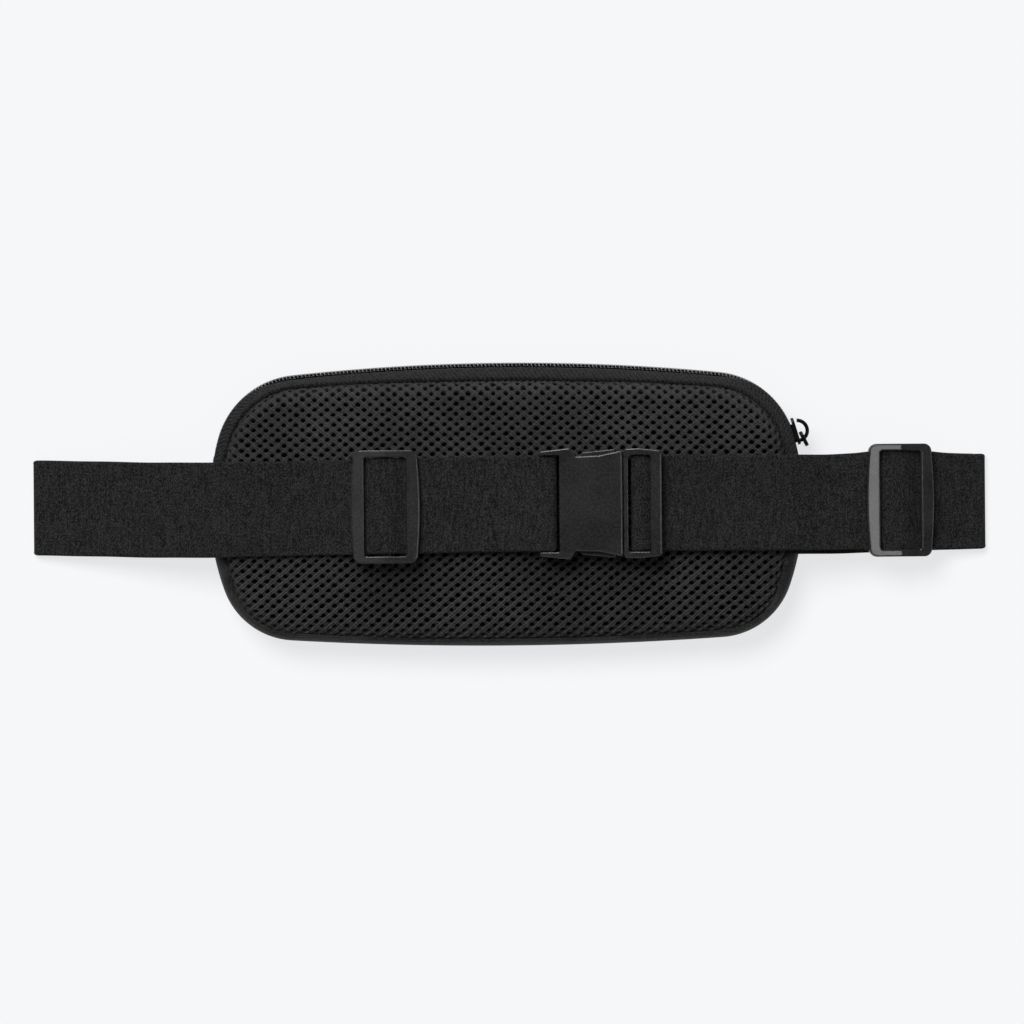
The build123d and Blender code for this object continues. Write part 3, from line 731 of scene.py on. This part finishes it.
def make_tapes(material):
    """Both zip tapes; at the corners the back one hangs out over the teeth."""
    whole = Ring(1.0)
    ring = whole.part(zip_side(whole))
    seam = seam_of(ring)
    over = smoothstep((np.abs(ring.at(0)[:, 0] + 2.5) - 87.0) / 17.0)

    def turned(plain, hanging):
        """Profile point that changes from plain to hanging towards the corners."""
        return tuple(a + (b - a) * over for a, b in zip(plain, hanging))

    back = [
        (seam + 0.8, SEAM_Z - 2.0), (seam + 0.45, SEAM_Z - 0.9),
        (seam, SEAM_Z), (seam - 0.7, SEAM_Z + 0.1), (seam * 0.45 + 1.3, 18.1 + 0.4 * over),
        turned((2.5, 17.4), (1.9, 18.0)), turned((2.05, 16.95), (0.9, 17.65)),
        turned((1.9, 16.6), (0.25, 17.25)), turned((2.3, 16.35), (1.2, 16.9)),
        (TAPE_INSET, 15.9), (TAPE_INSET, 13.6),
    ]
    piece = strip("zip_tape_back", ring, back, 0.35, material)
    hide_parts("zipper_tape_back")
    front = [
        (TAPE_INSET, 12.4), (TAPE_INSET, 11.0), (2.6, 10.2),
        (1.9, FRONT_SEAM_Z + 0.2), (2.4, FRONT_SEAM_Z - 0.8),
    ]
    piece = strip("zip_tape_front", ring, front, 0.5, material)
    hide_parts("zipper_tape_front")


def coil_path(ring_start, ring_end, side):
    """Flattened helix of one row of teeth between two lengths along the outline, and its tangents."""
    turns = int((ring_end - ring_start) / COIL_PITCH)
    count = turns * COIL_STEPS + 1
    lengths = ring_start + np.arange(count) * COIL_PITCH / COIL_STEPS
    whole = Ring(0.8)
    order = np.argsort(whole.length)
    plan = whole.at(0)[order]
    known = whole.length[order]
    x = np.interp(lengths, known, plan[:, 0], period=whole.total)
    y = np.interp(lengths, known, plan[:, 1], period=whole.total)
    nx = np.interp(lengths, known, whole.normal[order][:, 0], period=whole.total)
    ny = np.interp(lengths, known, whole.normal[order][:, 1], period=whole.total)
    turn = np.arange(count) * 2 * math.pi / COIL_STEPS
    if side < 0:
        turn = turn + math.pi
    depth = 1.12 - 0.76 * np.sign(np.sin(turn)) * np.abs(np.sin(turn)) ** 0.7
    across = 1.15 + 1.35 * np.sign(np.cos(turn)) * np.abs(np.cos(turn)) ** 0.8
    z = ZIP_Z + side * across
    return np.column_stack([x - nx * depth, y - ny * depth, z]), np.column_stack([-ny, nx])


def outline_length(point):
    """Length along the outline of the sample nearest to a plan point."""
    ring = Ring(0.5)
    nearest = np.argmin(np.linalg.norm(ring.at(0) - np.array(point), axis=1))
    return ring.length[nearest]


def make_coils(material):
    """Both rows of teeth, hooked into each other along the middle."""
    slider_low, slider_high = node_box("zip_slider_body")
    slider = (slider_low + slider_high) / 2
    stop_low, stop_high = node_box("zipper_bottom_stop")
    start = outline_length(slider[:2]) - 1.0
    end = outline_length(((stop_low + stop_high) / 2)[:2]) - 1.5
    for name, node, side in (("coil_back", "zipper_coil_back", 1), ("coil_front", "zipper_coil_front", -1)):
        path, tangents = coil_path(start, end, side)
        reference = np.column_stack([tangents, np.zeros(len(tangents))])
        points, faces = tube(path, COIL_R, COIL_SIDES, reference)
        piece = make_piece(name, points, faces, material)
        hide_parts(node)


# ---------------------------------------------------------------- belt
LAYER_1 = 0.8                    # middle of the lower layer above the surface it lies on
LAYER_2 = 2.35                   # middle of the upper layer
ADJUSTER_LEFT_X = -48.0          # middles of the adjusters' centre bars
ADJUSTER_RIGHT_X = 155.4
BUCKLE_X = -0.9
BAR_Z = 30.7                     # height of both buckle bars
BAR_HALF_H = 1.3
GROUND_GAP = 0.05                # under the folds
ROUTE_STEP = 0.9                 # between the samples along a strap
WRAP_OFFSET = 0.95               # from a bar's face to the middle of the belt round it


def edge_height():
    """Height where the belt leaves the back."""
    return BACK_TOP_Z + BELT_GAP - BACK_EDGE_X**2 / (2 * BACK_R_ALONG)


def fold_centre(side):
    """Distance of a fold's centre from the middle of the bag."""
    return abs(RIGHT_FOLD_X if side > 0 else LEFT_FOLD_X) - FOLD_R - BELT_T / 2


def ramp_slope(side):
    """Fall of the belt from the edge of the back to its fold on the ground."""
    return (edge_height() - GROUND_GAP - 2 * FOLD_R) / (fold_centre(side) - BACK_EDGE_X)


def belt_surface(x, rise):
    """Point at a height above the surface that the upper run of the belt lies on."""
    side = 1 if x >= 0 else -1
    if abs(x) <= BACK_EDGE_X:
        slope = -x / BACK_R_ALONG
        z = BACK_TOP_Z + BELT_GAP - x**2 / (2 * BACK_R_ALONG)
    else:
        slope = -side * ramp_slope(side)
        z = edge_height() - ramp_slope(side) * (abs(x) - BACK_EDGE_X)
    length = math.hypot(1, slope)
    return x - rise * slope / length, z + rise / length


def arc(x, z, radius, start, end, steps=6):
    """Points round a centre, in degrees from +X towards +Z."""
    angles = [math.radians(start + (end - start) * i / steps) for i in range(steps + 1)]
    return [(x + radius * math.cos(a), z + radius * math.sin(a)) for a in angles]


def outer_loop(side):
    """From the side seam out to the fold on the ground and back up."""
    fold_x = fold_centre(side)
    fold_z = GROUND_GAP + FOLD_R + BELT_T / 2
    seam = [(112.6, SEAM_Z + 0.85), (117.5, SEAM_Z - 0.4), (140.0, 13.0)]
    fold = arc(fold_x, fold_z, FOLD_R, -90, 90)
    points = [(side * x, z) for x, z in seam + fold]
    return points + [belt_surface(side * (fold_x - 5), LAYER_1)]


def weave_up(middle, side):
    """Over the adjuster's centre bar, from the fold side to the middle of the bar."""
    shape = [
        (27, LAYER_1), (22, 1.1), (14, 3.0), (8.2, 3.6), (4.8, 5.1), (2.4, 6.2), (1.2, 6.3), (0, 6.3),
    ]
    return [belt_surface(middle + side * u, rise) for u, rise in shape]


def weave_down(middle, side):
    """From the middle of the centre bar down to the buckle side."""
    shape = [
        (0, 6.3), (-1.2, 6.3), (-2.4, 6.2), (-5.5, 5.0),
        (-8.3, 4.0), (-16.0, 3.8), (-22, 2.75), (-28, LAYER_2),
    ]
    return [belt_surface(middle + side * u, rise) for u, rise in shape]


def sewn_end(middle, side):
    """Returning belt, round the centre bar and sewn back onto itself."""
    turn = arc(1.8, 2.8, 1.85, -90, 90)
    shape = [(-28, LAYER_1), (-6, LAYER_1)] + turn
    shape += [(-1.8, 4.65), (-3.4, 3.65), (-5.2, 2.55), (-7, 2.35), (-16, 2.35)]
    return [belt_surface(middle + side * u, rise) for u, rise in shape]


def bar_wrap(near, far, side):
    """Turn round a buckle bar from its top to its underside."""
    top = arc(0, 0, WRAP_OFFSET, 90, 0, 4)
    turn = [(far - side * x, BAR_Z + BAR_HALF_H + z) for x, z in top]
    turn += [(far - side * x, BAR_Z - BAR_HALF_H - z) for x, z in reversed(top)]
    reach = BAR_HALF_H + WRAP_OFFSET
    return [(near, BAR_Z + reach)] + turn + [(near, BAR_Z - reach)]


def smooth_route(points):
    """Even samples, in side view, of a smooth line near the given points."""
    points = np.array(points, dtype=float)
    for _ in range(2):
        fine = [points[0]]
        for a, b in zip(points, points[1:]):
            fine += [a * 0.75 + b * 0.25, a * 0.25 + b * 0.75]
        points = np.array(fine + [points[-1]])
    lengths = np.concatenate([[0], np.cumsum(np.linalg.norm(np.diff(points, axis=0), axis=1))])
    count = max(3, int(lengths[-1] / ROUTE_STEP))
    even = np.linspace(0, lengths[-1], count + 1)
    return np.column_stack([np.interp(even, lengths, points[:, k]) for k in (0, 1)])


def drift(knots):
    """Smooth sideways shift of the belt along x, through (x, shift) knots."""
    x, value = (np.array(column, dtype=float) for column in zip(*knots))

    def at(where):
        fine = np.interp(where[:, None] + np.linspace(-6, 6, 13)[None], x, value)
        return fine.mean(axis=1)

    return at


def webbing(name, route, material, shift, body=None, swell=None):
    """Woven strap along a side-view route, with thick soft edges and raised selvedges."""
    path = smooth_route(route)
    along = np.gradient(path, axis=0)
    along /= np.linalg.norm(along, axis=1, keepdims=True)
    up = np.column_stack([-along[:, 1], along[:, 0]])
    half, thick = BELT_W / 2, BELT_T / 2
    columns = np.linspace(-half + 1.6, half - 1.6, 13)
    top = [(y, thick) for y in columns]
    edge = [(half - 1.0, thick + 0.07), (half - 0.45, thick - 0.02), (half - 0.08, thick * 0.5), (half, 0)]
    right = edge + [(y, -w) for y, w in edge[-2::-1]]
    bottom = [(y, -thick) for y in columns[::-1]]
    left = [(-y, -w) for y, w in edge] + [(-y, w) for y, w in edge[-2::-1]]
    section = np.array(top + right + bottom + left)
    centre = 0.06 * np.sin(path[:, 0] * 0.11 + 1.3) + 0.05 * np.sin(path[:, 0] * 0.23)
    centre = centre + shift(path[:, 0])
    tip = np.where(path[:, 0] > 0, RIGHT_FOLD_X - path[:, 0], path[:, 0] - LEFT_FOLD_X)
    width = 1.0 - 0.8 / half * np.clip(1 - tip / 1.8, 0, 1) ** 2
    if swell is not None:
        width = width + swell(path[:, 0]) / half
    points = np.empty((len(path), len(section), 3))
    points[:, :, 0] = path[:, None, 0] + up[:, None, 0] * section[None, :, 1]
    points[:, :, 1] = section[None, :, 0] * width[:, None] + centre[:, None]
    points[:, :, 2] = path[:, None, 1] + up[:, None, 1] * section[None, :, 1]
    rows = len(section)
    faces = [tuple(reversed(face)) for face in grid_faces(len(path), rows)]
    points = points.reshape(-1, 3)
    count = len(points)
    points = np.concatenate([points, points[:rows], points[-rows:]])     # ends keep their own corners
    faces.append(tuple(reversed(range(count, count + rows))))
    faces.append(tuple(range(count + rows, count + 2 * rows)))
    return make_piece(name, points, faces, material, body=body)


# Sideways shift of each run, and how far the right strap bulges in its adjuster, as (x, shift).
LEFT_DRIFT = drift([
    (-190, 0.1), (-170, -0.45), (-150, -0.95), (-122, -1.45), (-100, -1.2), (-48, -0.45), (-10, 0), (30, 0),
])
RIGHT_DRIFT = drift([
    (40, 0), (100, -0.15), (125, -0.25), (148, 0.35), (163, 0.35), (174, 0.1), (186, -0.25), (192, -0.2),
])
LOWER_DRIFT = drift([
    (112, -1.9), (135, -1.7), (150, -1.2), (165, -0.9), (180, -0.55), (188, -0.2), (192, -0.2),
])
RETURN_DRIFT = drift([(40, 0.1), (125, -0.3), (148, 0.8), (170, 0.8)])
RIGHT_SWELL = drift([(139, 0), (147, 1.1), (166, 1.2), (171, 0)])


def make_left_belt(material):
    """Left strap: side seam, fold, adjuster, socket bar and back to the adjuster."""
    side = -1
    edge = [belt_surface(-x, LAYER_1) for x in (BACK_EDGE_X + 4, BACK_EDGE_X - 1, BACK_EDGE_X - 5, 96.0)]
    route = outer_loop(side) + edge + weave_up(ADJUSTER_LEFT_X, side)
    run = webbing("belt_left_run", route, material, shift=LEFT_DRIFT)
    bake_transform(run)
    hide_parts("belt_left_outer")
    rise = [belt_surface(-4, LAYER_2), (BUCKLE_X + 5, BAR_Z - 0.9), (BUCKLE_X + 11.5, BAR_Z + 1.75)]
    wrap = bar_wrap(BUCKLE_X + 16.2, BUCKLE_X + 19.4, side)
    back = [(BUCKLE_X + 8, BAR_Z - 3.1), belt_surface(-4, LAYER_1)]
    route = weave_down(ADJUSTER_LEFT_X, side) + rise + wrap + back + sewn_end(ADJUSTER_LEFT_X, side)
    loop = webbing("belt_left_loop", route, material, shift=LEFT_DRIFT)
    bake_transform(loop)
    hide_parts("belt_left_inner")


def make_right_belt(material):
    """Right strap: side seam, fold, adjuster, plug bar and back to the adjuster."""
    side = 1
    outer = outer_loop(side)
    split = belt_surface(186.0, LAYER_1)
    lower = webbing("belt_right_lower", outer[:-1] + [split], material, body="root", shift=LOWER_DRIFT)
    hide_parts("belt_right_outer")
    route = [split] + weave_up(ADJUSTER_RIGHT_X, side)
    fold_run = webbing("belt_right_fold_run", route, material, shift=RIGHT_DRIFT, swell=RIGHT_SWELL)
    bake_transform(fold_run)

    crest = (BACK_EDGE_X + 5, BACK_EDGE_X, BACK_EDGE_X - 2, BACK_EDGE_X - 5)
    over = [belt_surface(x, LAYER_2) for x in crest]
    route = weave_down(ADJUSTER_RIGHT_X, side) + over
    upper = webbing("belt_right_ramp_upper", route, material, shift=RIGHT_DRIFT, swell=RIGHT_SWELL)
    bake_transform(upper)
    under = [belt_surface(x, LAYER_1) for x in crest[::-1]]
    route = under + sewn_end(ADJUSTER_RIGHT_X, side)
    under_run = webbing("belt_right_ramp_lower", route, material, shift=RETURN_DRIFT)
    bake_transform(under_run)

    climb = [(66, BAR_Z - 2.0), (60.5, BAR_Z - 1.4), (57.6, BAR_Z + 1.0)]
    rise = [belt_surface(78, LAYER_2)] + [(BUCKLE_X + x, z) for x, z in climb]
    wrap = bar_wrap(BUCKLE_X + 55.4, BUCKLE_X + 52.2, side)
    back = [(BUCKLE_X + 64, BAR_Z - 4.1), belt_surface(78, LAYER_1)]
    start = [over[-1], belt_surface(crest[-1] - 3, LAYER_2)]
    end = [belt_surface(crest[-1] - 3, LAYER_1), under[0]]
    loop = webbing("belt_right_loop", start + rise + wrap + back + end, material, shift=RIGHT_DRIFT)
    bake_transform(loop)
    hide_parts("belt_right_inner")


# ---------------------------------------------------------------- hard parts
def dress_cad_nodes(hardware, lacquer):
    """Give the rigid CAD parts their finished materials."""
    groups = {
        "adjuster_left": hardware, "adjuster_right": hardware, "buckle_socket": hardware,
        "buckle_plug": hardware, "buckle_arm_upper": hardware, "buckle_arm_lower": hardware,
        "zip_slider_body": lacquer, "zip_slider_crown": lacquer, "zip_pull_tab": lacquer,
        "zipper_top_stops": lacquer, "zipper_bottom_stop": lacquer,
    }
    for name, material in groups.items():
        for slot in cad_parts[name].material_slots:
            slot.material = material


# ---------------------------------------------------------------- stage and light
PAPER = (0.9216, 0.9301, 0.9473, 1.0)     # colour of the white ground
FLOOR_GLOW = 0.797                        # share of the floor's light that comes from within
FLOOR_HALF = 30000.0                      # half the floor's side


def make_stage():
    """Plain pale floor, partly lit from within like a light table."""
    s = Shader("floor", roughness=0.9, specular=0.0)
    speckle = s.noise(s.place(scale=(0.02, 0.02, 0.02)), detail=1.0)
    colour = s.ramp(speckle, (0.239, 0.241, 0.245), (0.241, 0.243, 0.247), 0.3, 0.7)
    s.surface.inputs["Emission Color"].default_value = PAPER
    s.surface.inputs["Emission Strength"].default_value = FLOOR_GLOW
    material = s.finish(colour)
    half = FLOOR_HALF
    points = [(-half, -half, 0), (half, -half, 0), (half, half, 0), (-half, half, 0)]
    mesh = bpy.data.meshes.new("floor")
    mesh.from_pydata((np.array(points) * MM).tolist(), [], [(0, 1, 2, 3)])
    mesh.materials.append(material)
    floor = bpy.data.objects.new("floor", mesh)
    bpy.context.scene.collection.objects.link(floor)


def make_sun(name, azimuth, elevation, strength, spread, diffuse=True, glossy=True):
    """Even light from one side; azimuth 0 comes from +Y, 90 from +X."""
    light = bpy.data.lights.new(name, "SUN")
    light.energy = strength
    light.angle = math.radians(spread)
    sun = bpy.data.objects.new(name, light)
    bpy.context.scene.collection.objects.link(sun)
    a, e = math.radians(azimuth), math.radians(elevation)
    towards = Vector((math.sin(a) * math.cos(e), math.cos(a) * math.cos(e), math.sin(e)))
    sun.rotation_euler = towards.to_track_quat("Z", "Y").to_euler()
    sun.visible_diffuse = diffuse
    sun.visible_glossy = glossy


def make_light():
    """Soft studio light, strongest from above the zip side, with strip lights for the rims."""
    world = bpy.data.worlds.new("studio")
    bpy.context.scene.world = world
    world.use_nodes = True
    background = world.node_tree.nodes["Background"]
    background.inputs["Color"].default_value = PAPER
    background.inputs["Strength"].default_value = 1.0
    world.cycles_visibility.diffuse = False
    world.cycles_visibility.glossy = False
    make_sun("key", -34, 59, 2.4, 30, glossy=False)
    make_sun("fill_left", -80, 48, 0.20, 60, glossy=False)
    make_sun("fill_right", 90, 48, 0.12, 60, glossy=False)
    make_sun("fill_front", 185, 45, 0.26, 60)
    make_sun("rim_top", -6, 30, 2.4, 30, diffuse=False)
    make_sun("rim_right", 98, 24, 0.25, 26, diffuse=False)
    make_sun("strip", 90, 70, 0.155, 8, diffuse=False)
    make_sun("strip_left", -90, 77, 0.025, 14, diffuse=False)
    bpy.context.scene.view_settings.view_transform = "Standard"


# ---------------------------------------------------------------- build
make_camera()
make_light()
make_stage()
make_air_mesh(air_mesh_material())
make_backing(backing_material())
cloth = shell_material()
make_gusset(cloth)
make_front(cloth)
make_tapes(tape_material())
make_coils(coil_material())
strap = webbing_material()
make_left_belt(strap)
make_right_belt(strap)
dress_cad_nodes(hardware_material(), lacquer_material())
